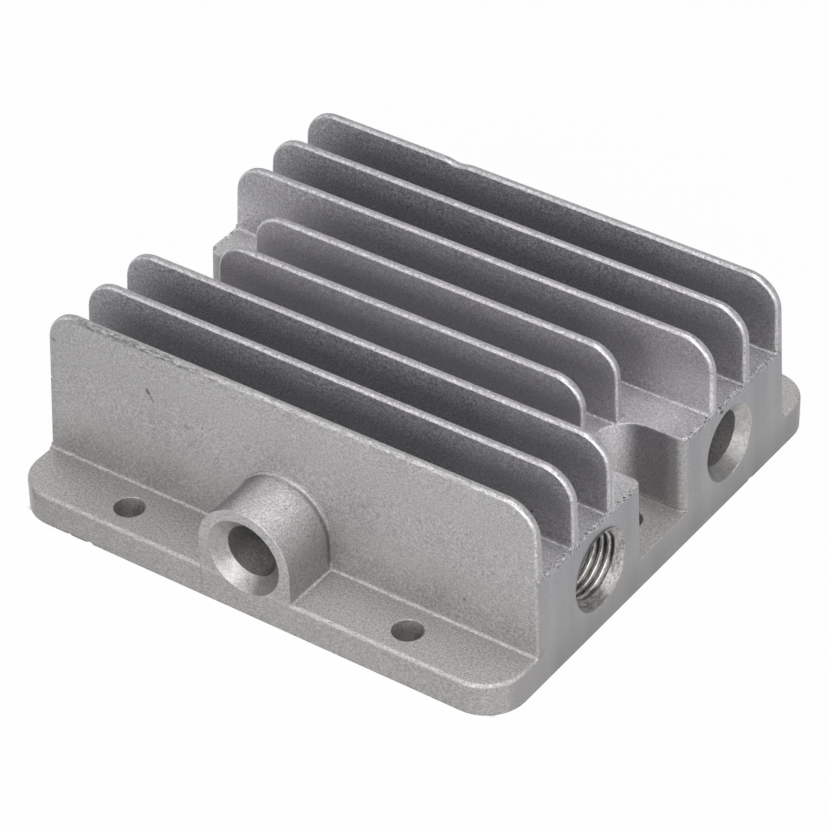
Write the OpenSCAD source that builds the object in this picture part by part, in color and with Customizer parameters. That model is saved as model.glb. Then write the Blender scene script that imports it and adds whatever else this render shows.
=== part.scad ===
// Finned cylinder head of a small piston compressor, cast as one piece of aluminium.
// X runs along the fins, Y across them, Z up from the gasket face.
// The threaded port and the plain port are on the +X end, the inlet boss on the -Y side.

/* [Flange] */
// Length of the flange along the fins
flange_l = 97.2; // [94:0.1:104]
// Width of the flange across the fins
flange_w = 96.2; // [93:0.1:104]
// Thickness of the flange
flange_t = 6; // [4.5:0.1:8]
// Plan radius of the four flange corners
flange_r = 7.3; // [4:0.1:9]
// Rounding along the upper edge of the flange
flange_edge = 0.6; // [0.3:0.1:1.5]

/* [Fins] */
// Number of fins, the middle two of them short
fin_count = 8; // [6, 8, 10]
// Thickness of a fin where it leaves the deck
fin_t = 2.1; // [1.8:0.1:2.8]
// Height of the fin tips above the gasket face
fin_top = 34.4; // [31:0.2:42]
// Radius of the upper corners of the long fins
fin_corner_r = 6; // [4:0.2:8]
// Rounding along both edges of a fin's rim
rim_r = 0.6; // [0.3:0.05:0.65]
// Fillet where a fin meets the deck
root_r = 0.5; // [0.2:0.1:1]
// Distance of the short fins' ends from the ends of the flange
short_fin_inset = 12.2; // [11.6:0.1:15.6]
// Radius of the upper corners of the short fins
short_corner_r = 5.4; // [4:0.2:7]

/* [Body] */
// Width of the body between its outer faces, at the flange
body_w = 74.15; // [70:0.05:76]
// Height of the deck between the fins
deck_z = 20.7; // [19:0.1:24]
// Draft angle of the two ends
end_draft = 2.3; // [0.5:0.1:3]
// Draft angle of the sides and the fin faces
side_draft = 1.25; // [0.5:0.05:1.4]
// Fillet where the body meets the flange
foot_r = 0.5; // [0.3:0.1:1.2]

/* [Bolt holes] */
// Diameter of the six bolt holes
bolt_d = 5.3; // [4.5:0.1:6.5]
// Distance between the holes along each side flange
bolt_dx = 55.4; // [44:0.2:66]
// Distance of the side holes from the long edges of the flange
bolt_inset = 5.4; // [4.6:0.1:6.4]
// Distance of the holes in the end pockets from the ends of the flange
end_bolt_inset = 7.4; // [6.5:0.1:8.7]

/* [End pockets] */
// Radius of the pocket's round inner end
pocket_r = 6.3; // [5:0.1:7]
// Rounding of the pocket's mouth
pocket_lip_r = 2; // [0.6:0.1:2.4]

/* [Inlet boss] */
// Place of the boss along the fins
boss_x = -0.2; // [-8:0.2:8]
// Height of the boss centre
boss_z = 11.5; // [10.8:0.1:12.4]
// Outer radius of the boss
boss_r = 9; // [8:0.1:9.4]
// Fillet where the boss meets the body and the flange
boss_fillet = 0.4; // [0.3:0.1:1.8]
// Bore of the inlet
inlet_d = 9.5; // [8:0.1:10]
// Diameter of the inlet's countersunk mouth
inlet_mouth_d = 14; // [12:0.1:15.5]

/* [Threaded port] */
// Place of the threaded port across the fins
tap_y = -19; // [-22:0.1:-17]
// Height of the threaded port
tap_z = 11.6; // [10.5:0.1:12.2]
// Outside diameter of its thread
tap_d = 13.16; // [11:0.02:14]
// Depth of the thread
tap_l = 10; // [8:0.5:11]
// Diameter of its chamfered mouth
tap_mouth_d = 14.5; // [14.5:0.1:16]

/* [Plain port] */
// Place of the plain port across the fins
plain_y = 19.9; // [17:0.1:22]
// Height of the plain port
plain_z = 12; // [11:0.1:12.4]
// Bore of the plain port
plain_d = 10; // [8:0.1:10.2]
// Diameter of its countersunk mouth
plain_mouth_d = 14; // [12:0.1:15.5]

/* [Chambers] */
// Thickness of the end walls of the two chambers open to the gasket face
end_wall = 12.6; // [12:0.1:15.6]
// Thickness of the body's side walls at the gasket face
side_wall = 4.5; // [3.5:0.1:6]
// Thickness of the roof under the deck
roof_t = 3.5; // [3:0.1:3.5]
// Thickness of the wall between the chambers
partition_t = 7; // [5:0.5:9]
// Wall left round the end pockets
pocket_wall = 3.6; // [2.5:0.1:5]
// Corner radius of the chambers
chamber_r = 4; // [2:0.5:6]
// Bore from the thread into its chamber
passage_d = 9.5; // [7:0.1:10]

/* [Hidden] */
$fn = 96;
arc_steps = 4;
root_steps = 3;
lip_steps = 5;
corner_steps = 6;
cast_grey = [0.66, 0.66, 0.66];

// How far solids reach into each other where they are joined or cut
overlap = flange_t / 6;
// How far a round stretch stands proud where it runs into a straight one, for a clean crossing
proud = overlap / 100;
// How far a rim's cutter runs on past the faces that it rounds, as a share of its radius
rim_run = 1.05;
body_half = body_w / 2;
mid = (fin_count - 1) / 2;
fin_pitch = (body_half - half_thick(flange_t)) / mid;
chamber_x = flange_l / 2 - end_wall;
chamber_y0 = partition_t / 2;
chamber_y1 = body_half - side_wall;
chamber_top = deck_z - roof_t;
pocket_x = flange_l / 2 - end_bolt_inset;
reach = max(flange_l, flange_w);
long_rows = [for (i = [0:fin_count - 1]) if (abs(i - mid) > 1) i];
short_rows = [for (i = [0:fin_count - 1]) if (abs(i - mid) < 1) i];

// Half the thickness of a fin at height z: its faces lean in by the draft angle
function half_thick(z) = fin_t / 2 + (deck_z - z) * tan(side_draft);

// Half the length of the body at height z, from the draft of its ends
function end_x(z) = flange_l / 2 - (z - flange_t) * tan(end_draft);

// Half the length of a short fin at height z
function short_x(z) = flange_l / 2 - short_fin_inset - (z - deck_z) * tan(end_draft);

// Place along the head of the centre of an upper corner, tangent to an end that is half_l away there
function corner_x(half_l, r) = half_l - r / cos(end_draft);

// Place of a fin across the head
function row_y(i) = (i - mid) * fin_pitch;

// Points of a round stretch from angle a0 to a1
function arc(cx, cy, r, a0, a1, steps = arc_steps) =
    [for (k = [0:steps]) let (a = a0 + (a1 - a0) * k / steps) [cx + r * cos(a), cy + r * sin(a)]];

// Root fillet at the foot of a fin, on its -Y or its +Y side
function low_root(i) = arc(row_y(i) - fin_t / 2 - root_r, deck_z + root_r, root_r, 270, 360, root_steps);
function high_root(i) = arc(row_y(i) + fin_t / 2 + root_r, deck_z + root_r, root_r, 180, 270, root_steps);

// Section of a fin above its root fillets, past its tip
function fin_tip(i) = let (z = fin_top + overlap, half = half_thick(z))
    [[row_y(i) - half, z], [row_y(i) + half, z]];

// Section across the body and the long fins: foot fillets, drafted faces and deck in one outline
module comb_section() {
    last = fin_count - 1;
    foot_y = body_half + foot_r;
    foot_z = flange_t + foot_r;
    polygon(concat(
        [[-foot_y, flange_t - overlap]],
        arc(-foot_y, foot_z, foot_r, 270, 360, root_steps),
        [for (i = long_rows) each concat(i == 0 ? [] : low_root(i), fin_tip(i), i == last ? [] : high_root(i))],
        arc(foot_y, foot_z, foot_r, 180, 270, root_steps),
        [[foot_y, flange_t - overlap]]
    ));
}

// Section of one short fin, reaching down into the deck
module short_fin_section(i) {
    foot_y = fin_t / 2 + root_r;
    polygon(concat(
        [[row_y(i) - foot_y, deck_z - overlap]],
        low_root(i),
        fin_tip(i),
        high_root(i),
        [[row_y(i) + foot_y, deck_z - overlap]]
    ));
}

// Side profile as a slab across the head: drafted ends, rounded upper corners, foot at z0
module side_profile(half_l, r, z0) {
    cz = fin_top - r;
    top_x = half_l - r * tan(end_draft);
    foot_x = half_l + (cz - z0) * tan(end_draft);
    difference() {
        rotate([90, 0, 0]) linear_extrude(reach, center = true)
            polygon([[-foot_x, z0], [foot_x, z0], [top_x, fin_top], [-top_x, fin_top]]);
        for (side = [0, 1]) mirror([side, 0, 0])
            translate([corner_x(half_l, r), 0, cz]) rotate([90, 0, 0])
            linear_extrude(2 * reach, center = true) difference() {
                square(2 * r);
                circle(r + proud);
            }
    }
}

// Section of what rounding an edge takes away: x out from the corner's centre, y out from the face
module rim_cut_section(r) {
    run = rim_run * rim_r;
    polygon(concat(
        [[r - rim_r, overlap]],
        arc(r - rim_r, -rim_r, run, 90, 0),
        [[r + overlap, -rim_r], [r + overlap, overlap]]
    ));
}

// Rounding along one face of a fin: over the top, round both corners and down both ends to foot_z
module rim_cut(half_l, r, foot_z) {
    cx = corner_x(half_l, r);
    past = rim_r;
    drop = fin_top - r - foot_z;
    rotate([90, 0, 90]) linear_extrude(2 * (cx + past), center = true) rotate(90) rim_cut_section(r);
    for (side = [0, 1]) mirror([side, 0, 0]) translate([cx, 0, 0]) {
        rotate([90, 0, 0]) rotate_extrude(angle = 90 - end_draft, start = end_draft)
            rim_cut_section(r + proud);
        rotate([0, -end_draft, 0]) translate([0, 0, -drop]) linear_extrude(drop + past)
            mirror([0, 1]) rim_cut_section(r);
    }
}

// Roundings along both faces of the fins in rows, laid in the plane of each drafted face
module rim_cuts(rows, half_l, r) {
    cz = fin_top - r;
    for (i = rows, side = [0, 1]) {
        outer = i == side * (fin_count - 1);
        translate([0, row_y(i), 0]) mirror([0, side, 0])
            translate([0, -half_thick(cz), cz]) rotate([-side_draft, 0, 0])
            rim_cut(half_l, r, outer ? flange_t + foot_r : deck_z + root_r);
    }
}

// Body with its long fins
module long_body() {
    half_l = end_x(fin_top - fin_corner_r);
    difference() {
        intersection() {
            side_profile(half_l, fin_corner_r, flange_t);
            rotate([90, 0, 90]) linear_extrude(2 * reach, center = true) comb_section();
        }
        rim_cuts(long_rows, half_l, fin_corner_r);
    }
}

// The two short fins on the middle of the deck
module short_fins() {
    half_l = short_x(fin_top - short_corner_r);
    difference() {
        intersection() {
            side_profile(half_l, short_corner_r, deck_z - overlap);
            rotate([90, 0, 90]) linear_extrude(reach, center = true) {
                for (i = short_rows) short_fin_section(i);
            }
        }
        rim_cuts(short_rows, half_l, short_corner_r);
    }
}

// Section of the flange from a corner's centre outwards, with its rounded upper edge
module flange_section(back = 0) {
    polygon(concat(
        [[-back, 0], [flange_r, 0]],
        arc(flange_r - flange_edge, flange_t - flange_edge, flange_edge, 0, 90),
        [[-back, flange_t]]
    ));
}

// Flange: a full-length pad under the body and a rounded strip along each side
module flange() {
    cx = flange_l / 2 - flange_r;
    cy = flange_w / 2 - flange_r;
    translate([-flange_l / 2, -body_half - foot_r, 0])
        cube([flange_l, 2 * (body_half + foot_r), flange_t]);
    for (side = [0, 1]) mirror([0, side, 0]) {
        rotate([90, 0, -90]) translate([cy, 0, -cx]) linear_extrude(2 * cx)
            flange_section(cy - body_half);
        for (end = [0, 1]) mirror([end, 0, 0]) {
            translate([cx, -cy, 0]) rotate(-90) rotate_extrude(angle = 90) flange_section();
            translate([cx, -cy, 0]) rotate([90, 0, 0]) translate([0, 0, -(cy - body_half)])
                linear_extrude(cy - body_half) flange_section();
        }
    }
}

// Arched boss round the inlet, with its foot fillets
module inlet_boss() {
    depth = flange_w / 2 - body_half + 2 * overlap;
    wall_y = -body_half;
    translate([boss_x, -flange_w / 2, 0]) {
        translate([0, 0, boss_z]) rotate([-90, 0, 0]) cylinder(r = boss_r, h = depth);
        translate([-boss_r, 0, 0]) cube([2 * boss_r, depth, boss_z]);
    }
    translate([boss_x, wall_y + overlap, boss_z]) rotate([90, 0, 0]) rotate_extrude(angle = 180)
        polygon(concat(
            [[boss_r - overlap, 0]],
            [[boss_r + boss_fillet, 0]],
            arc(boss_r + boss_fillet, overlap + boss_fillet, boss_fillet, 270, 180),
            [[boss_r - overlap, overlap + boss_fillet]]
        ));
    for (side = [0, 1]) translate([boss_x, 0, 0]) mirror([side, 0, 0]) {
        translate([0, wall_y + overlap, flange_t - overlap]) linear_extrude(boss_z - flange_t + overlap)
            rotate(-90) polygon(concat(
                [[0, boss_r - overlap], [0, boss_r + boss_fillet]],
                arc(overlap + boss_fillet, boss_r + boss_fillet, boss_fillet, 180, 270),
                [[overlap + boss_fillet, boss_r - overlap]]
            ));
        translate([0, wall_y, 0]) rotate([90, 0, 0])
            linear_extrude(flange_w / 2 - body_half - flange_edge)
            polygon(concat(
                [[boss_r - overlap, flange_t - overlap], [boss_r + foot_r, flange_t - overlap]],
                arc(boss_r + foot_r, flange_t + foot_r, foot_r, 270, 180, root_steps),
                [[boss_r - overlap, flange_t + foot_r]]
            ));
    }
}

// Countersunk bore along local Z, its mouth at z = 0 and its bore going down
module mouth_and_bore(d, mouth_d, l) {
    sink = (mouth_d - d) / 2;
    translate([0, 0, -l]) cylinder(d = d, h = l + overlap);
    translate([0, 0, -sink]) cylinder(d1 = d, d2 = mouth_d, h = sink);
    cylinder(d = mouth_d, h = overlap);
}

// Inlet bore, from the boss face into the -Y chamber
module inlet_bore() {
    translate([boss_x, -flange_w / 2, boss_z]) rotate([90, 0, 0])
        mouth_and_bore(inlet_d, inlet_mouth_d, flange_w / 2 - chamber_y1 + overlap);
}

// Threaded port: thread bore with its chamfer, then the passage into the -Y chamber
module threaded_port() {
    face_x = end_x(tap_z);
    through = face_x - chamber_x + 2 * overlap;
    translate([face_x, tap_y, tap_z]) rotate([0, 90, 0]) {
        mouth_and_bore(tap_d, tap_mouth_d, tap_l);
        translate([0, 0, -through]) cylinder(d = passage_d, h = through);
    }
}

// Plain port into the +Y chamber
module plain_port() {
    face_x = end_x(plain_z);
    translate([face_x, plain_y, plain_z]) rotate([0, 90, 0])
        mouth_and_bore(plain_d, plain_mouth_d, face_x - chamber_x + 2 * overlap);
}

// Roundings down both sides of a pocket's mouth, laid along the drafted end face, from the floor up
module pocket_lips() {
    intersection() {
        translate([0, -reach / 2, flange_t]) cube([reach, reach, fin_top]);
        for (side = [0, 1]) mirror([0, side, 0])
            translate([end_x(flange_t) + proud, 0, flange_t]) rotate([0, -end_draft, 0])
            translate([0, 0, -overlap]) linear_extrude(fin_top) polygon(concat(
                [[overlap, pocket_r - overlap], [-pocket_lip_r, pocket_r - overlap]],
                arc(-pocket_lip_r, pocket_r + pocket_lip_r, pocket_lip_r, 270, 360, lip_steps),
                [[overlap, pocket_r + pocket_lip_r]]
            ));
    }
}

// Round-ended pocket over each end bolt, open to the end face, with rounded lips
module end_pocket() {
    translate([pocket_x, 0, flange_t]) {
        cylinder(r = pocket_r, h = fin_top);
        translate([0, -pocket_r, 0]) cube([reach, 2 * pocket_r, fin_top]);
    }
    pocket_lips();
}

// Bolt holes: two in each side flange and one in each end pocket
module bolt_holes() {
    spots = [
        for (sx = [-1, 1], sy = [-1, 1]) [sx * bolt_dx / 2, sy * (flange_w / 2 - bolt_inset)],
        for (sx = [-1, 1]) [sx * pocket_x, 0]
    ];
    for (p = spots) translate([p[0], p[1], -overlap]) cylinder(d = bolt_d, h = flange_t + 2 * overlap);
}

// One chamber, on the +Y side: rounded corners, clear of the walls round the end pockets
module chamber() {
    x1 = chamber_x;
    r = chamber_r;
    difference() {
        translate([0, 0, -overlap]) linear_extrude(chamber_top + overlap) polygon(concat(
            arc(x1 - r, chamber_y0 + r, r, -90, 0, corner_steps),
            arc(x1 - r, chamber_y1 - r, r, 0, 90, corner_steps),
            arc(r - x1, chamber_y1 - r, r, 90, 180, corner_steps),
            arc(r - x1, chamber_y0 + r, r, 180, 270, corner_steps)
        ));
        for (side = [-1, 1]) translate([side * pocket_x, 0, -2 * overlap])
            cylinder(r = pocket_r + pocket_wall, h = chamber_top + 4 * overlap);
    }
}

module cylinder_head() {
    color(cast_grey) difference() {
        union() {
            long_body();
            short_fins();
            flange();
            inlet_boss();
        }
        for (side = [0, 1]) {
            mirror([side, 0, 0]) end_pocket();
            mirror([0, side, 0]) chamber();
        }
        inlet_bore();
        threaded_port();
        plain_port();
        bolt_holes();
    }
}

cylinder_head();
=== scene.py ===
from math import cos, pi, radians, sin

import bmesh
import bpy
from mathutils import Matrix, Vector

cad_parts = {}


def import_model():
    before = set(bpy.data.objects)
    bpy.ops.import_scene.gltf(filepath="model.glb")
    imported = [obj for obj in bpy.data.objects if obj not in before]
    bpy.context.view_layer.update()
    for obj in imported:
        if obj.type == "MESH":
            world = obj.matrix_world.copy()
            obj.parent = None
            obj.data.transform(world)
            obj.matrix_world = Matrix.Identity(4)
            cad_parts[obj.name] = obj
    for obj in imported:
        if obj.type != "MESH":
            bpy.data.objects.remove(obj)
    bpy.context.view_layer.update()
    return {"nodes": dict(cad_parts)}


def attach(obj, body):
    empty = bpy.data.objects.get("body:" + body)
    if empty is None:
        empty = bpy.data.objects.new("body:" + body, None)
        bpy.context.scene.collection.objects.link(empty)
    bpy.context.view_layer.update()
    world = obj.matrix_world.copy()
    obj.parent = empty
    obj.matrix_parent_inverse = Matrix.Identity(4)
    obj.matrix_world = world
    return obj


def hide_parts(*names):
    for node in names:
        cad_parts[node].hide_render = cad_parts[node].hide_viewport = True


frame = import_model()
scene = bpy.context.scene
mm = 0.001

print("Stage 1: camera")

# Same view as the photo: azimuth from the front, downward tilt and a slight roll
cameraSetup = {
    "place": (309.28 * mm, -434.19 * mm, 417.37 * mm),
    "azimuth": 35.535,
    "elevation": 37.396,
    "roll": -1.041,
    "lens": 175.41,
    "sensor": 36.0,
}


def makeCamera(setup):
    azimuth, elevation, roll = (radians(setup[k]) for k in ("azimuth", "elevation", "roll"))
    forward = Vector((-sin(azimuth) * cos(elevation), cos(azimuth) * cos(elevation), -sin(elevation)))
    level = Vector((cos(azimuth), sin(azimuth), 0))
    upright = level.cross(forward)
    right = level * cos(roll) + upright * sin(roll)
    up = upright * cos(roll) - level * sin(roll)
    data = bpy.data.cameras.new("camera")
    data.lens = setup["lens"]
    data.sensor_width = setup["sensor"]
    data.clip_start = 0.01
    camera = bpy.data.objects.new("camera", data)
    turn = Matrix((right, up, -forward)).transposed().to_4x4()
    camera.matrix_world = Matrix.Translation(setup["place"]) @ turn
    scene.collection.objects.link(camera)
    scene.camera = camera


makeCamera(cameraSetup)

print("Stage 2: materials")


# A value in a shader tree: + - * / and ** on it add Math nodes
class Value:
    def __init__(self, tree, socket):
        self.tree = tree
        self.socket = socket

    def math(self, operation, first, second=None):
        inputs = {0: first} if second is None else {0: first, 1: second}
        return self.tree.add("ShaderNodeMath", {"operation": operation}, inputs)

    def __add__(self, other):
        return self.math("ADD", self, other)

    def __radd__(self, other):
        return self.math("ADD", other, self)

    def __sub__(self, other):
        return self.math("SUBTRACT", self, other)

    def __rsub__(self, other):
        return self.math("SUBTRACT", other, self)

    def __mul__(self, other):
        return self.math("MULTIPLY", self, other)

    def __rmul__(self, other):
        return self.math("MULTIPLY", other, self)

    def __truediv__(self, other):
        return self.math("DIVIDE", self, other)

    def __pow__(self, other):
        return self.math("POWER", self, other)

    def __neg__(self):
        return self.math("MULTIPLY", self, -1.0)

    def clamp(self):
        return self.tree.add("ShaderNodeClamp", {}, {0: self})

    def over(self, low):
        return self.math("MAXIMUM", self, low)

    def under(self, high):
        return self.math("MINIMUM", self, high)

    def size(self):
        return self.math("ABSOLUTE", self)

    # 0 below low, 1 above high, and smooth between
    def step(self, low, high):
        settings = {"interpolation_type": "SMOOTHSTEP"}
        return self.tree.add("ShaderNodeMapRange", settings, {0: self, 1: low, 2: high, 3: 0.0, 4: 1.0})


# A material's node tree with one way to add nodes
class Tree:
    def __init__(self, material):
        material.use_nodes = True
        self.nodes = material.node_tree.nodes
        self.links = material.node_tree.links
        self.nodes.clear()

    def add(self, kind, settings, inputs, output=0):
        node = self.nodes.new(kind)
        for name, setting in settings.items():
            setattr(node, name, setting)
        for name, value in inputs.items():
            if isinstance(value, Value):
                self.links.new(value.socket, node.inputs[name])
            else:
                node.inputs[name].default_value = value
        return Value(self, node.outputs[output])

    def noise(self, place, size, detail=2.0, roughness=0.5):
        inputs = {"Vector": place, "Scale": 1 / size, "Detail": detail, "Roughness": roughness}
        return self.add("ShaderNodeTexNoise", {}, inputs)

    def split(self, vector):
        return [self.add("ShaderNodeSeparateXYZ", {}, {0: vector}, axis) for axis in "XYZ"]

    # Vector maths with a vector or a single number as its result
    def vector(self, operation, first, second):
        return self.add("ShaderNodeVectorMath", {"operation": operation}, {0: first, 1: second})

    def measure(self, operation, first, second=(0.0, 0.0, 0.0)):
        return self.add("ShaderNodeVectorMath", {"operation": operation}, {0: first, 1: second}, 1)

    def scale(self, vector, factor):
        return self.add("ShaderNodeVectorMath", {"operation": "SCALE"}, {0: vector, "Scale": factor})

    # Rays that see a surface as the camera, a reflection or glass does
    def directRays(self):
        kinds = [f"Is {kind} Ray" for kind in ("Camera", "Glossy", "Transmission")]
        camera, glossy, through = [self.add("ShaderNodeLightPath", {}, {}, kind) for kind in kinds]
        return (camera + glossy + through).clamp()

    # A grey a little warm or cool: the shares are those of red, green and blue
    def tint(self, shade, red, green, blue):
        return self.add("ShaderNodeCombineColor", {}, {0: shade * red, 1: shade * green, 2: shade * blue})

    def bump(self, height, strength, distance, normal=None):
        inputs = {"Strength": strength, "Distance": distance, "Height": height}
        if normal is not None:
            inputs["Normal"] = normal
        return self.add("ShaderNodeBump", {}, inputs)

    def metalSurface(self, color, metal, rough, bump):
        inputs = {"Base Color": color, "Metallic": metal, "Roughness": rough, "Normal": bump}
        self.finish(self.add("ShaderNodeBsdfPrincipled", {}, inputs))

    def finish(self, shader):
        output = self.nodes.new("ShaderNodeOutputMaterial")
        self.links.new(shader.socket, output.inputs["Surface"])


# Outline of the fins along the head and the places of its parts, from the part's own sizes
finShape = {
    "top": 34.4 * mm,
    "corner": 6.0 * mm,
    "halfLong": 48.6 * mm,
    "halfShort": 37.0 * mm,
    "flangeTop": 6.0 * mm,
    "deck": 20.7 * mm,
    "endSlope": 0.0402,
    "shortRows": 7.0 * mm,
    "rowBlend": 0.1 * mm,
    "deckBlend": 0.3 * mm,
    "rimRise": 2 * mm,
    "flankRise": 1 * mm,
}

# A share is how bright an area is beside the plain casting skin, and most shares are painted light or painted
# shade set by place and by how a face is turned. A light or dull value is added or taken
castFinish = {
    "shade": 0.37,
    "darkest": 0.02,
    "metal": 0.65,
    "rough": 0.5,
    "red": 1.02,
    "green": 0.995,
    "grainSize": 0.3 * mm,
    "pitSize": 0.6 * mm,
    "mottleSize": 8 * mm,
    "flowSize": 4 * mm,
    "flashSize": 0.6 * mm,
    "chipSize": 0.5 * mm,
    "rimBand": 1.0 * mm,
    "edgeRadius": 0.3 * mm,
    "bumpStrength": 0.8,
    "bumpDepth": 0.08 * mm,
    "grainTone": 1.7,
    "pitTone": 0.5,
    "glintTone": 0.22,
    "mottleTone": 0.12,
    "flowTone": 0.3,
    "roughGrain": 0.3,
    "upLitShare": 1.08,
    "endShadeShare": 0.9,
    "flankShadeShare": 0.8,
    "footShadeShare": 0.88,
    "flangeShadeShare": 0.86,
    "bossLitShare": 1.27,
    "bossShadeShare": 0.5,
    "bayLitShare": 1.36,
    "pocketShadeShare": 0.76,
    "pocketEndLitShare": 1.8,
    "leftShade": 0.1,
    "panelLight": 0.04,
    "seamDull": 0.04,
    "endFootShade": 0.18,
    "ledgeLineShade": 0.12,
    "bossFootShade": 0.14,
    "bossFootRightShade": 0.3,
    "wearAndHighlight": 0.16,
    "edgeWearAndHighlight": 0.02,
    "edgeWearAndHighlightPits": 2.0,
    "rimWearAndHighlight": 0.1,
    "rimPits": 0.7,
    "rimFrontHighlight": 0.7,
    "rimFrontHighlightPits": 2.4,
    "rimFrontHighlightGrain": 2.0,
    "rimTopDull": 0.45,
    "roughWearAndHighlight": 0.7,
    "flash": 0.3,
    "flashEdge": 47.95 * mm,
    "flashReach": (0.3 * mm, 1.0 * mm),
    "chipDull": 0.1,
    "chipDark": 0.5,
    "roughLight": 0.2,
    "roughDark": 0.4,
    "lowBlue": 0.968,
    "tipBlue": 0.035,
    "insideBlue": 0.025,
    "gapBlue": 0.02,
    "endBlue": 0.025,
    "bossAxis": (-0.2 * mm, 0.0, 11.5 * mm),
    "bossReach": (9.3 * mm, 9.7 * mm),
}

# Where the areas of the casting begin: each mask rises from 0 to 1 between the two places, in mm
castPlaces = {
    "endPlane": (47.5, 48.0),
    "bossFront": (-37.0, -36.6),
    "bossBase": (6.2, 6.6),
    "wallFoot": (-38.4, -37.6),
    "behindWall": (-36.0, -35.0),
    "bossFootBase": (7.0, 8.0),
    "ledgeLine": (5.95, 6.05),
    "overLedgeLine": (6.7, 7.1),
    "besideMiddle": (15.0, 15.5),
    "bayInside": (30.0, 40.0),
    "bayMouth": (42.0, 47.0),
    "bayFloor": (20.1, 20.5),
    "bayTop": (24.0, 31.0),
    "pocketInside": (33.0, 34.0),
    "pocketMouth": (44.0, 45.5),
    "pocketFloor": (6.6, 7.2),
    "portsHalf": (20.0, 32.0),
    "outerFins": (15.4, 15.9),
    "sixthFin": (13.8, 14.2),
    "behindFrontFin": (-34.0, -33.0),
    "backFin": (33.0, 34.0),
    "behindFrontWall": (-35.5, -34.5),
    "wallLow": (7.0, 15.0),
    "wallBase": (6.0, 6.5),
    "flangeFront": (-47.6, -47.0),
    "flangeUpperEdge": (5.0, 6.0),
    "leftOfMiddle": (-48.0, 4.0),
    "ledgeLeft": (-20.0, 0.0),
    "overLedge": (6.2, 7.0),
    "farPanel": (28.9, 29.3),
    "panelSeam": (26.3, 28.6),
    "endLow": (1.0, 9.0),
    "endFront": (-42.0, -30.0),
    "rimTop": (33.3, 33.8),
    "frontRim": (-36.1, -35.7),
    "rimLeft": (-44.0, -40.0),
    "chipsEnd": (-22.0, -8.0),
    "roughEnd": (34.0, 42.0),
    "coolRise": (2.0, 26.0),
}

# How far a face has to turn for a mask to rise, as parts of its normal
castLeans = {
    "up": (0.5, 0.9),
    "side": (0.8, 0.95),
    "flat": (0.93, 0.99),
    "end": (0.75, 0.97),
    "bossFace": (0.7, 0.95),
    "bossLit": (-0.62, -0.1),
    "bossRight": (0.5, 1.0),
    "bossFootRight": (0.0, 0.6),
    "pocketEndLit": (0.25, 0.75),
    "backward": (0.2, 0.5),
    "flangeFace": (0.6, 0.9),
    "rimStart": (0.2, 0.5),
    "rimFlat": (0.85, 0.97),
    "edgeTurn": (0.01, 0.22),
}

# Small faults that the casting carries: place, size and how much darker (or, below 0, brighter)
castMarks = {
    "darkFlaw": {"start": (-27.35, -36.6, 26.1), "end": (-26.2, -36.7, 24.45), "width": 0.22, "depth": 0.5},
    "darkFlawHead": {"start": (-27.45, -36.6, 26.3), "end": (-27.2, -36.6, 25.9), "width": 0.5, "depth": 0.5},
    "faintSpot": {"start": (-19.9, -36.7, 22.3), "end": (-19.2, -36.7, 22.0), "width": 0.4, "depth": 0.22},
    "darkSpeck": {"start": (34.5, -36.95, 11.5), "end": (34.6, -36.95, 11.6), "width": 0.3, "depth": 0.5},
    "brightFleck": {"start": (1.4, -36.55, 29.8), "end": (2.3, -36.55, 29.3), "width": 0.22, "depth": -0.35},
    "edgeNick": {"start": (-46.9, -36.6, 28.6), "end": (-46.3, -36.6, 28.5), "width": 0.3, "depth": 0.45},
    "blockPitPorts": {"start": (48.1, 17.1, 19.7), "end": (48.1, 17.7, 19.5), "width": 0.42, "depth": 0.75},
    "finEndPit": {"start": (40.0, -26.5, 24.6), "end": (40.3, -26.5, 24.9), "width": 0.3, "depth": 0.6},
    "cornerStain": {"start": (-44.6, -47.4, 5.9), "end": (-43.6, -47.7, 4.2), "width": 0.5, "depth": 0.25},
    "witnessLine": {"start": (-9.1, -48.1, 6.0), "end": (-9.1, -48.1, 1.4), "width": 0.13, "depth": 0.3},
}


# 1 along a short line between two points, 0 further off than the width, all in mm
def streak(tree, place, start, end, width, core=0.35):
    start, end = Vector(start) * mm, Vector(end) * mm
    along = end - start
    offset = tree.vector("SUBTRACT", place, tuple(start))
    share = (tree.measure("DOT_PRODUCT", offset, tuple(along)) / along.length_squared).clamp()
    nearest = tree.scale(tuple(along), share)
    distance = tree.measure("LENGTH", tree.vector("SUBTRACT", offset, nearest))
    return 1 - distance.step(width * core * mm, width * mm)


# How deep a point lies below the outline of its fin, in metres
def rimDepth(x, y, z, shape):
    long = y.step(shape["shortRows"], shape["shortRows"] + shape["rowBlend"])
    half = long * (shape["halfLong"] - shape["halfShort"]) + shape["halfShort"]
    half = half - (z - shape["flangeTop"]) * shape["endSlope"]
    qx = x - half + shape["corner"]
    qz = z - shape["top"] + shape["corner"]
    corner = (qx.over(0.0) ** 2.0 + qz.over(0.0) ** 2.0) ** 0.5
    inner = qx.math("MAXIMUM", qx, qz).under(0.0)
    return shape["corner"] - corner - inner


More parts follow.
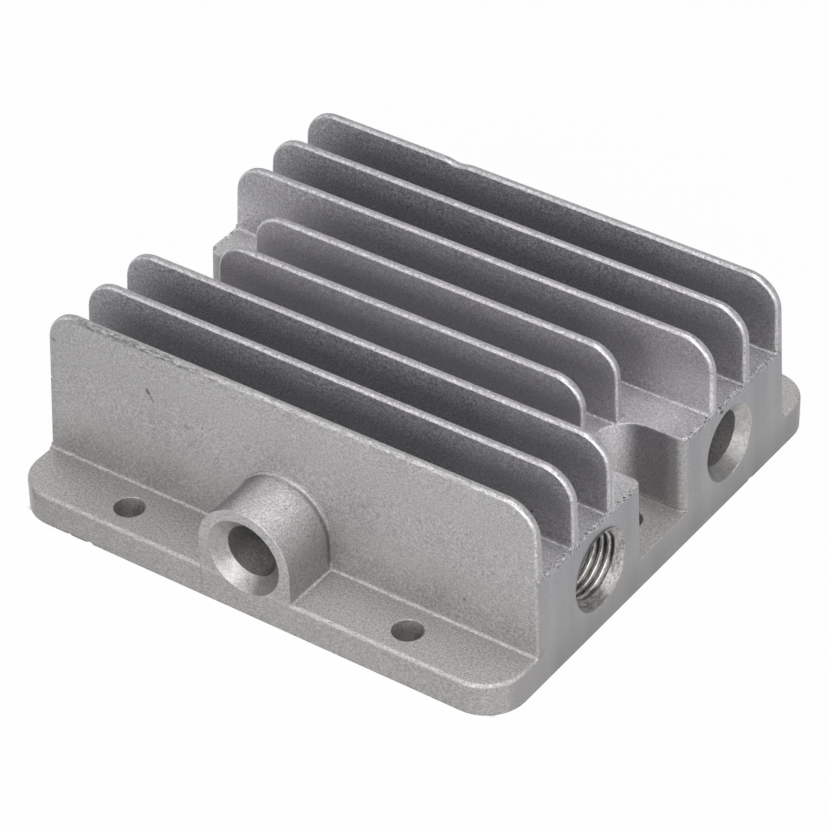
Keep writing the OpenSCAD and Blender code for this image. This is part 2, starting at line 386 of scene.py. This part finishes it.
def castAluminium(finish, places, leans, marks, shape):
    material = bpy.data.materials.new("castAluminium")
    tree = Tree(material)
    place = tree.add("ShaderNodeTexCoord", {}, {}, "Object")
    normal = tree.add("ShaderNodeTexCoord", {}, {}, "Normal")
    px, py, z = tree.split(place)
    right, back, nz = tree.split(normal)
    x, y, nx, ny = px.size(), py.size(), right.size(), back.size()
    deck = shape["deck"]

    def past(value, name):
        low, high = places[name]
        return value.step(low * mm, high * mm)

    def before(value, name):
        return 1 - past(value, name)

    def turnedBy(value, name):
        return value.step(*leans[name])

    grain = tree.noise(place, finish["grainSize"], 3.0, 0.7)
    pits = tree.noise(place, finish["pitSize"], 2.0, 0.5)
    mottle = tree.noise(place, finish["mottleSize"], 3.0, 0.5)
    # Raised flow marks of the end faces run upwards
    flow = tree.noise(tree.vector("MULTIPLY", place, (1.0, 1.0, 0.12)), finish["flowSize"], 1.0, 0.5)

    softNormal = tree.add("ShaderNodeBevel", {"samples": 6}, {"Radius": finish["edgeRadius"]})
    trueNormal = tree.add("ShaderNodeNewGeometry", {}, {}, "Normal")
    edge = turnedBy(1 - tree.measure("DOT_PRODUCT", softNormal, trueNormal), "edgeTurn")
    rim = 1 - rimDepth(x, y, z, shape).step(0.0, finish["rimBand"])
    rim = rim * z.step(deck, deck + shape["rimRise"])

    up = turnedBy(nz, "up")
    side = turnedBy(ny, "side")
    curved = 1 - turnedBy(ny, "flat")
    low = 1 - z.step(deck - shape["deckBlend"], deck + shape["deckBlend"])
    endFace = turnedBy(nx, "end") * low * past(x, "endPlane")

    # The boss: painted highlight over its top and right, painted shade on its left, and painted shade on the
    # fillet at its foot and along the crease at the foot of the wall
    bossX, _, bossZ = tree.split(tree.vector("SUBTRACT", place, finish["bossAxis"]))
    bossRadial = (bossX ** 2.0 + bossZ.over(0.0) ** 2.0) ** 0.5
    nearBoss = 1 - bossRadial.step(*finish["bossReach"])
    boss = nearBoss * before(py, "bossFront") * (1 - turnedBy(ny, "bossFace")) * past(z, "bossBase")
    bossLit = turnedBy(right, "bossLit") * (1 - turnedBy(right, "bossRight") * 0.5)
    wallFoot = past(py, "wallFoot") * before(py, "behindWall")
    bossFoot = nearBoss * wallFoot * past(z, "bossFootBase")
    ledgeFoot = past(z, "ledgeLine") * before(z, "overLedgeLine") * wallFoot * (1 - up) * curved

    # Painted light in the bays over the pockets, and painted shade and light on the pockets' own walls
    middle = before(y, "besideMiddle")
    bay = past(x, "bayInside") * middle * (1 - endFace) * before(z, "bayTop")
    bay = bay * past(z, "bayFloor") * (1 - past(x, "bayMouth") * up * 0.9)
    pocket = low * past(x, "pocketInside") * before(x, "pocketMouth")
    pocket = pocket * middle * past(z, "pocketFloor") * (1 - up)
    pocketEndLit = turnedBy(nx, "pocketEndLit") * (finish["pocketEndLitShare"] - finish["pocketShadeShare"])

    # The flanks in the gaps between the fins, without the front and back of the whole comb, which get painted
    # shade
    inBay = past(px, "portsHalf")
    outer = past(y, "outerFins") + past(y, "sixthFin") * (1 - inBay) * 0.5
    flank = side * z.step(deck, deck + shape["flankRise"]) * outer.under(1.0)
    flank = flank * past(py, "behindFrontFin") * (1 - inBay * 0.7)
    flank = flank * (1 - past(py, "backFin") * turnedBy(back, "backward"))

    # Painted shade low on the front, along the edge of the flange and towards the left
    front = side * before(py, "behindFrontWall")
    foot = front * before(z, "wallLow") * past(z, "wallBase")
    flangeEdge = before(py, "flangeFront") * before(z, "flangeUpperEdge") * turnedBy(ny, "flangeFace")
    leftEnd = (1 - up) * front * before(px, "leftOfMiddle")
    leftEnd = leftEnd + up * before(z, "overLedge") * before(px, "ledgeLeft")

    # Painted glints: bright specks in the colour where the grain is highest
    glint = grain.step(0.6, 0.74)
    speckle = (grain - 0.5) * finish["grainTone"] + (pits - 0.5) * finish["pitTone"]
    speckle = speckle + glint * finish["glintTone"]
    speckle = speckle * (up * 0.3 + 0.85 - endFace * 0.55 + flank * 0.6) * (1 - rim * 0.4)
    tone = 1 + speckle + (mottle - 0.5) * finish["mottleTone"] + endFace * (flow - 0.5) * finish["flowTone"]
    bossGain = finish["bossLitShare"] - finish["bossShadeShare"]
    share = 1 + boss * (finish["bossShadeShare"] - 1 + bossLit * bossGain)
    # Painted light in the bays and painted shade on the flanks in the gaps
    share = share + bay * (finish["bayLitShare"] - 1) - flank * (1 - finish["flankShadeShare"])
    # Painted light on the faces turned up and painted shade on the end faces
    share = share + up * (finish["upLitShare"] - 1) - endFace * (1 - finish["endShadeShare"])
    # Painted shade low on the front wall, on the front of the flange and towards the left
    share = share - foot * (1 - finish["footShadeShare"]) - flangeEdge * (1 - finish["flangeShadeShare"])
    # Painted shade on the pocket walls and painted light on the pocket's end wall
    share = share - leftEnd * finish["leftShade"] + pocket * (finish["pocketShadeShare"] - 1 + pocketEndLit)
    # The far panel of the end is lighter, with a dull band beside it, and the end has painted shade low down
    panel = past(py, "farPanel") * finish["panelLight"] - past(py, "panelSeam") * finish["seamDull"]
    endFoot = before(z, "endLow") * past(py, "endFront") * finish["endFootShade"]
    share = share + endFace * (panel - endFoot)

    # Bright edges and rims, partly rubbed bright and partly painted highlight, broken up by the grain, with a
    # painted highlight along the front of the fin rims and a duller and rougher line on the front fin
    wornAndHighlitEdge = edge * (1 - bossFoot * 0.9) * (1 - flangeEdge * 0.3) * (1 - ledgeFoot * 0.6)
    # Painted highlight along the part of each rim that turns towards the front
    rimHighlightBand = rim * turnedBy(-back, "rimStart") * (1 - turnedBy(-back, "rimFlat"))
    wearAndHighlight = wornAndHighlitEdge * (finish["edgeWearAndHighlight"] + (pits - 0.4).over(0.0) * finish["edgeWearAndHighlightPits"])
    wearAndHighlight = wearAndHighlight + rim * (finish["rimWearAndHighlight"] + (pits - 0.5) * finish["rimPits"] - up * finish["rimTopDull"])
    frontSpecks = (pits - 0.5) * finish["rimFrontHighlightPits"] + (grain - 0.5) * finish["rimFrontHighlightGrain"]
    wearAndHighlight = wearAndHighlight + rimHighlightBand * (finish["rimFrontHighlight"] + frontSpecks)
    frontRim = past(z, "rimTop") * before(py, "frontRim") * past(px, "rimLeft")
    chipLine = frontRim * before(px, "chipsEnd")
    roughLine = frontRim * before(px, "roughEnd")
    wearAndHighlight = wearAndHighlight * (1 - roughLine * finish["roughWearAndHighlight"]) * finish["wearAndHighlight"]
    shade = tone * share * finish["shade"] + wearAndHighlight
    # Painted shade on the fillet at the foot of the boss and on the crease at the foot of the wall
    bossFilletShade = turnedBy(right, "bossFootRight") * finish["bossFootRightShade"] + finish["bossFootShade"]
    shade = shade * (1 - bossFoot * curved * bossFilletShade)
    shade = shade * (1 - ledgeFoot * finish["ledgeLineShade"])

    # Rough parting flash along the upper edges of both ends
    edgeX = x - finish["flashEdge"]
    edgeZ = z - deck
    flashBand = 1 - ((edgeX ** 2.0 + edgeZ ** 2.0) ** 0.5).step(*finish["flashReach"])
    flash = tree.noise(place, finish["flashSize"], 3.0, 0.7)
    specks = flash.step(0.54, 0.66) - 1 + flash.step(0.34, 0.46)
    shade = shade + flashBand * specks * finish["flash"]

    # Chips along the top of the front fin, dark at its left and lighter further right
    chips = tree.noise(tree.vector("MULTIPLY", place, (0.35, 1.0, 1.0)), finish["chipSize"], 3.0, 0.7)
    chipped = chips.step(0.4, 0.6)
    shade = shade * (1 - chipLine * (chipped * finish["chipDark"] + finish["chipDull"]))
    shade = shade * (1 + (roughLine - chipLine) * (finish["roughLight"] - chipped * finish["roughDark"]))

    for mark in marks.values():
        shade = shade * (1 - streak(tree, place, mark["start"], mark["end"], mark["width"]) * mark["depth"])
    shade = shade.over(finish["darkest"])
    # Slightly warm low down and slightly violet towards the fin tips, in the gaps and at the ends
    inside = past(py, "behindWall")
    blue = finish["lowBlue"] + past(z, "coolRise") * (finish["tipBlue"] + inside * finish["insideBlue"])
    blue = blue + flank * finish["gapBlue"] + (endFace + pocket) * finish["endBlue"]
    color = tree.tint(shade, finish["red"], finish["green"], blue)
    bump = tree.bump(grain * 0.6 + pits * 0.4, finish["bumpStrength"], finish["bumpDepth"], softNormal)
    rough = finish["rough"] + (grain - 0.5) * finish["roughGrain"] - rim * 0.1 - edge * 0.05
    tree.metalSurface(color, finish["metal"], rough, bump)
    return material


# Where the turned surfaces carry painted shade or painted highlight beside their plain shade
turnedFinish = {
    "shade": 0.35,
    "darkest": 0.02,
    "metal": 0.8,
    "rough": 0.42,
    "red": 1.02,
    "blue": 0.97,
    "grainSize": 0.3 * mm,
    "blotchSize": 1.4 * mm,
    "bumpStrength": 0.6,
    "bumpDepth": 0.06 * mm,
    "grainTone": 1.4,
    "blotchTone": 0.7,
    "roughGrain": 0.3,
    "frontHole": (-30 * mm, -28 * mm),
    "sinkShade": 0.46,
    "sinkHighlight": 0.22,
    "footShade": 0.45,
}


# Countersinks of the holes
def turnedAluminium(finish):
    material = bpy.data.materials.new("turnedAluminium")
    tree = Tree(material)
    place = tree.add("ShaderNodeTexCoord", {}, {}, "Object")
    normal = tree.add("ShaderNodeTexCoord", {}, {}, "Normal")
    right, back, upward = tree.split(normal)
    _, py, _ = tree.split(place)
    grain = tree.noise(place, finish["grainSize"], 3.0, 0.65)
    blotch = tree.noise(place, finish["blotchSize"], 3.0, 0.6)
    frontHole = 1 - py.step(*finish["frontHole"])
    sink = frontHole * (-back).step(0.3, 0.5)
    endSink = (1 - frontHole) * right.step(0.4, 0.6)
    # Painted highlight on the end sink where its faces turn to the front, and painted shade on the front sink
    # where its faces turn left and on the end sink where its faces turn up
    bright = endSink * (-back).step(0.1, 0.5) * finish["sinkHighlight"]
    dull = sink * (1 - right.step(-0.3, 0.0)) * finish["sinkShade"]
    dull = dull + endSink * upward.step(0.3, 0.6) * finish["footShade"]
    mottled = 1 + (grain - 0.5) * finish["grainTone"] + (blotch - 0.5) * finish["blotchTone"]
    shade = (mottled * (1 + bright - dull) * finish["shade"]).over(finish["darkest"])
    bump = tree.bump(grain * 0.5 + blotch * 0.5, finish["bumpStrength"], finish["bumpDepth"])
    rough = finish["rough"] + (grain - 0.5) * finish["roughGrain"]
    color = tree.tint(shade, finish["red"], 1.0, finish["blue"])
    tree.metalSurface(color, finish["metal"], rough, bump)
    return material


threadFinish = {
    "crestPaintedLight": 0.75,
    "groovePaintedShade": 0.16,
    "coneShade": 0.35,
    "darkest": 0.02,
    "metal": 0.7,
    "rough": 0.48,
    "red": 1.02,
    "blue": 0.96,
    "streakSize": 0.3 * mm,
    "bumpStrength": 0.6,
    "bumpDepth": 0.05 * mm,
    "streakTone": 2.8,
    "grainTone": 1.2,
    "coneInside": (46.7 * mm, 47.0 * mm),
    "footRise": (2.5 * mm, 6.0 * mm),
    "lowRise": (0.0, 4.5 * mm),
    "grooveRise": (5.85 * mm, 6.2 * mm),
    "lowShift": 0.4 * mm,
    "axis": (0.0, -19.0 * mm, 11.6 * mm),
    "footShade": 0.5,
}


# The thread and its cone: cut, with streaks that run round the hole, painted light on the crests and the
# lower half, and painted shade in the grooves and at the lower left
def tappedAluminium(finish):
    material = bpy.data.materials.new("tappedAluminium")
    tree = Tree(material)
    place = tree.add("ShaderNodeTexCoord", {}, {}, "Object")
    streaks = tree.noise(tree.vector("MULTIPLY", place, (1.0, 0.25, 0.25)), finish["streakSize"], 3.0, 0.65)
    grain = tree.noise(place, finish["streakSize"], 3.0, 0.65)
    px, _, _ = tree.split(place)
    _, across, height = tree.split(tree.vector("SUBTRACT", place, finish["axis"]))
    radial = (across ** 2.0 + height ** 2.0) ** 0.5
    cone = px.step(*finish["coneInside"])
    foot = (-height - across * 0.8).step(*finish["footRise"])
    low = (-height).step(*finish["lowRise"])
    groove = (radial - low * finish["lowShift"]).step(*finish["grooveRise"])
    # Painted light on the crests and painted shade in the grooves, with more painted light over the lower
    # half
    plain = groove * (finish["groovePaintedShade"] - finish["crestPaintedLight"]) + finish["crestPaintedLight"]
    plain = plain * (0.75 + low * 0.6)
    plain = cone * (finish["coneShade"] - plain) + plain
    mottled = 1 + (streaks - 0.5) * finish["streakTone"] + (grain - 0.5) * finish["grainTone"]
    shade = (mottled * plain * (1 - foot * finish["footShade"])).over(finish["darkest"])
    bump = tree.bump(streaks * 0.6 + grain * 0.4, finish["bumpStrength"], finish["bumpDepth"])
    color = tree.tint(shade, finish["red"], 1.0, finish["blue"])
    tree.metalSurface(color, finish["metal"], finish["rough"], bump)
    return material


cast = castAluminium(castFinish, castPlaces, castLeans, castMarks, finShape)
turned = turnedAluminium(turnedFinish)
tapped = tappedAluminium(threadFinish)

print("Stage 3: head")

headSetup = {
    "weld": 0.001 * mm,
    "sharpAngle": 40,
    "faceWeight": 80,
    "sinkLean": (0.3, 0.9),
    "holes": [
        {"axis": 1, "sign": -1, "center": (-0.2 * mm, 0, 11.5 * mm), "radius": 7.02 * mm, "from": 30 * mm},
        {"axis": 0, "sign": 1, "center": (0, 19.9 * mm, 12.0 * mm), "radius": 7.02 * mm, "from": 30 * mm},
        {"axis": 0, "sign": 1, "center": (0, -19 * mm, 11.6 * mm), "radius": 7.27 * mm, "from": 30 * mm},
    ],
}

# Dents along edges that run along X (0) or Y (1): middle, half length, reach across and push, in mm
headDents = {
    "farFinNotch": {
        "place": (-16.0, 35.6, 34.4),
        "along": 0,
        "half": 2.6,
        "across": 1.9,
        "push": (0, 0, -0.4),
    },
    "flangeDentOuter": {
        "place": (-36.5, -48.1, 0.0),
        "along": 0,
        "half": 0.6,
        "across": 0.5,
        "push": (0, 0.1, 0.14),
    },
    "flangeDentInner": {
        "place": (-32.2, -48.1, 0.0),
        "along": 0,
        "half": 0.9,
        "across": 0.5,
        "push": (0, 0.15, 0.22),
    },
    "endDent": {
        "place": (48.6, 26.7, 0.0),
        "along": 1,
        "half": 0.9,
        "across": 0.5,
        "push": (-0.08, 0, 0.18),
    },
}


def dentEdge(work, dent, weld):
    middle = Vector(dent["place"]) * mm
    push = Vector(dent["push"]) * mm
    along, half, across = dent["along"], dent["half"] * mm, dent["across"] * mm
    way = Vector([float(axis == along) for axis in range(3)])

    def aside(vertex):
        offset = vertex.co - middle
        offset[along] = 0
        return offset.length < across

    for quarter in range(-4, 5):
        edges = [edge for edge in work.edges if all(aside(vertex) for vertex in edge.verts)]
        faces = [face for face in work.faces if all(aside(vertex) for vertex in face.verts)]
        verts = [vertex for vertex in work.verts if aside(vertex)]
        cut = middle + way * half * quarter / 4
        bmesh.ops.bisect_plane(work, geom=verts + edges + faces, dist=weld, plane_co=cut, plane_no=way)
    for vertex in work.verts:
        share = abs(vertex.co[along] - middle[along]) / half
        if aside(vertex) and share < 1:
            vertex.co += push * (1 - share * share) ** 2


# Whether a face is part of the countersink of a hole
def isTurned(face, setup):
    flattest, steepest = setup["sinkLean"]
    center = face.calc_center_median()
    for hole in setup["holes"]:
        axis = hole["axis"]
        offset = center - Vector(hole["center"])
        offset[axis] = 0
        inside = center[axis] * hole["sign"] > hole["from"] and offset.length < hole["radius"]
        if inside and flattest < abs(face.normal[axis]) < steepest:
            return True
    return False


def dressHead(node, setup, dents):
    mesh = node.data.copy()
    work = bmesh.new()
    work.from_mesh(mesh)
    bmesh.ops.remove_doubles(work, verts=work.verts, dist=setup["weld"])
    for dent in dents.values():
        dentEdge(work, dent, setup["weld"])
    for face in work.faces:
        face.smooth = True
        face.material_index = 1 if isTurned(face, setup) else 0
    for edge in work.edges:
        edge.smooth = edge.is_manifold and edge.calc_face_angle(0) < radians(setup["sharpAngle"])
    mesh.materials.clear()
    mesh.materials.append(cast)
    mesh.materials.append(turned)
    work.to_mesh(mesh)
    work.free()
    piece = bpy.data.objects.new("finnedHead", mesh)
    scene.collection.objects.link(piece)
    weighted = piece.modifiers.new("faceNormals", "WEIGHTED_NORMAL")
    weighted.keep_sharp = True
    weighted.weight = setup["faceWeight"]
    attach(piece, "root")
    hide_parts("cylinder_head")


dressHead(frame["nodes"]["cylinder_head"], headSetup, headDents)

print("Stage 4: thread")

threadSetup = {
    "mouth": 48.375 * mm,
    "across": -19 * mm,
    "height": 11.6 * mm,
    "pitch": 1.337 * mm,
    "crest": 5.72 * mm,
    "root": 6.55 * mm,
    "lead": 1.0,
    "turns": 8,
    "crestShare": 0.3,
    "rootShare": 0.1,
    "cuts": 14,
    "steps": 96,
    "coneRadius": 7.22 * mm,
    "wall": 0.02 * mm,
    "weld": 0.002 * mm,
    "smallest": 0.001 * mm,
}


# Radius of the thread at a share of its pitch: root at 0, crest at 0.5, both slightly rounded
def threadRadius(share, setup):
    slope = 1 - setup["crestShare"] - setup["rootShare"]
    side = min(max((abs(2 * share - 1) - setup["crestShare"]) / slope, 0.0), 1.0)
    side = (side + side * side * (3 - 2 * side)) / 2
    return setup["crest"] + (setup["root"] - setup["crest"]) * side


def makeThread(setup):
    work = bmesh.new()
    pitch = setup["pitch"]
    chain = []
    for cut in range(setup["turns"] * setup["cuts"] + 1):
        turn = cut / setup["cuts"]
        depth = (turn - setup["lead"]) * pitch
        radius = threadRadius(turn % 1, setup)
        chain.append(work.verts.new((setup["mouth"] - depth, setup["across"], setup["height"] + radius)))
    edges = [work.edges.new(pair) for pair in zip(chain, chain[1:])]
    axisPoint = (0, setup["across"], setup["height"])
    advance = (-pitch / setup["steps"], 0, 0)
    # Clockwise from the mouth goes deeper, as on a right-hand thread
    bmesh.ops.spin(work, geom=chain + edges, cent=axisPoint, axis=(-1, 0, 0),
                   dvec=advance, angle=2 * pi, steps=setup["steps"], use_merge=False)
    bmesh.ops.remove_doubles(work, verts=work.verts, dist=setup["weld"])
    for vertex in work.verts:
        depth = max(setup["mouth"] - vertex.co.x, 0)
        vertex.co.x = setup["mouth"] - depth
        radial = Vector((0, vertex.co.y - setup["across"], vertex.co.z - setup["height"]))
        cone = setup["coneRadius"] - depth
        if radial.length < cone:
            vertex.co += radial.normalized() * (cone - radial.length)
    bmesh.ops.dissolve_degenerate(work, edges=work.edges, dist=setup["smallest"])
    for face in work.faces:
        face.smooth = True
    bmesh.ops.recalc_face_normals(work, faces=work.faces)
    bmesh.ops.solidify(work, geom=work.faces[:], thickness=setup["wall"])
    mesh = bpy.data.meshes.new("portThread")
    work.to_mesh(mesh)
    work.free()
    mesh.materials.append(tapped)
    piece = bpy.data.objects.new("portThread", mesh)
    scene.collection.objects.link(piece)
    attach(piece, "root")


makeThread(threadSetup)

print("Stage 5: floor and light")

studio = {
    "floorSize": 3.0,
    "floorShade": 0.85,
    "whiteShare": 0.97,
    "covered": (46 * mm, 47 * mm),
    "skyLevel": 0.03,
    "lamps": {
        "topLamp": {"place": (0, 0.01, 1.2), "size": 0.6, "power": 6.8},
        "frontLamp": {"place": (0, -1.15, 0.35), "size": 0.6, "power": 7.6},
        "frontRightLamp": {"place": (0.75, -0.75, 0.6), "size": 0.6, "power": 3.4},
        "rightLamp": {"place": (1.15, 0, 0.35), "size": 0.6, "power": 2.6},
    },
}


# The floor is white where it is seen directly, but not under the head, where its holes look down on it
def makeFloor(setup):
    bpy.ops.mesh.primitive_plane_add(size=setup["floorSize"], location=(0, 0, 0))
    floor = bpy.context.object
    floor.name = "floor"
    material = bpy.data.materials.new("paleFloor")
    tree = Tree(material)
    px, py, _ = tree.split(tree.add("ShaderNodeTexCoord", {}, {}, "Object"))
    covered = (1 - px.size().step(*setup["covered"])) * (1 - py.size().step(*setup["covered"]))
    seen = tree.directRays() * (1 - covered)
    plain = tree.add("ShaderNodeBsdfDiffuse", {}, {"Color": (setup["floorShade"],) * 3 + (1,)})
    white = tree.add("ShaderNodeEmission", {}, {"Color": (1, 1, 1, 1), "Strength": 1.0})
    tree.finish(tree.add("ShaderNodeMixShader", {}, {0: seen * setup["whiteShare"], 1: plain, 2: white}))
    floor.data.materials.append(material)


def makeSky(setup):
    world = bpy.data.worlds.new("studio")
    scene.world = world
    tree = Tree(world)
    level = tree.directRays() * (1 - setup["skyLevel"]) + setup["skyLevel"]
    sky = tree.add("ShaderNodeBackground", {}, {"Color": (1, 1, 1, 1), "Strength": level})
    output = tree.nodes.new("ShaderNodeOutputWorld")
    tree.links.new(sky.socket, output.inputs["Surface"])


def makeLamp(name, place, size, power):
    data = bpy.data.lights.new(name, "AREA")
    data.shape = "SQUARE"
    data.size = size
    data.energy = power
    lamp = bpy.data.objects.new(name, data)
    lamp.matrix_world = Matrix.Translation(place) @ Vector(place).to_track_quat("Z", "Y").to_matrix().to_4x4()
    scene.collection.objects.link(lamp)


makeFloor(studio)
makeSky(studio)
for name, lamp in studio["lamps"].items():
    makeLamp(name, lamp["place"], lamp["size"], lamp["power"])

scene.view_settings.view_transform = "Standard"
bpy.context.view_layer.update()
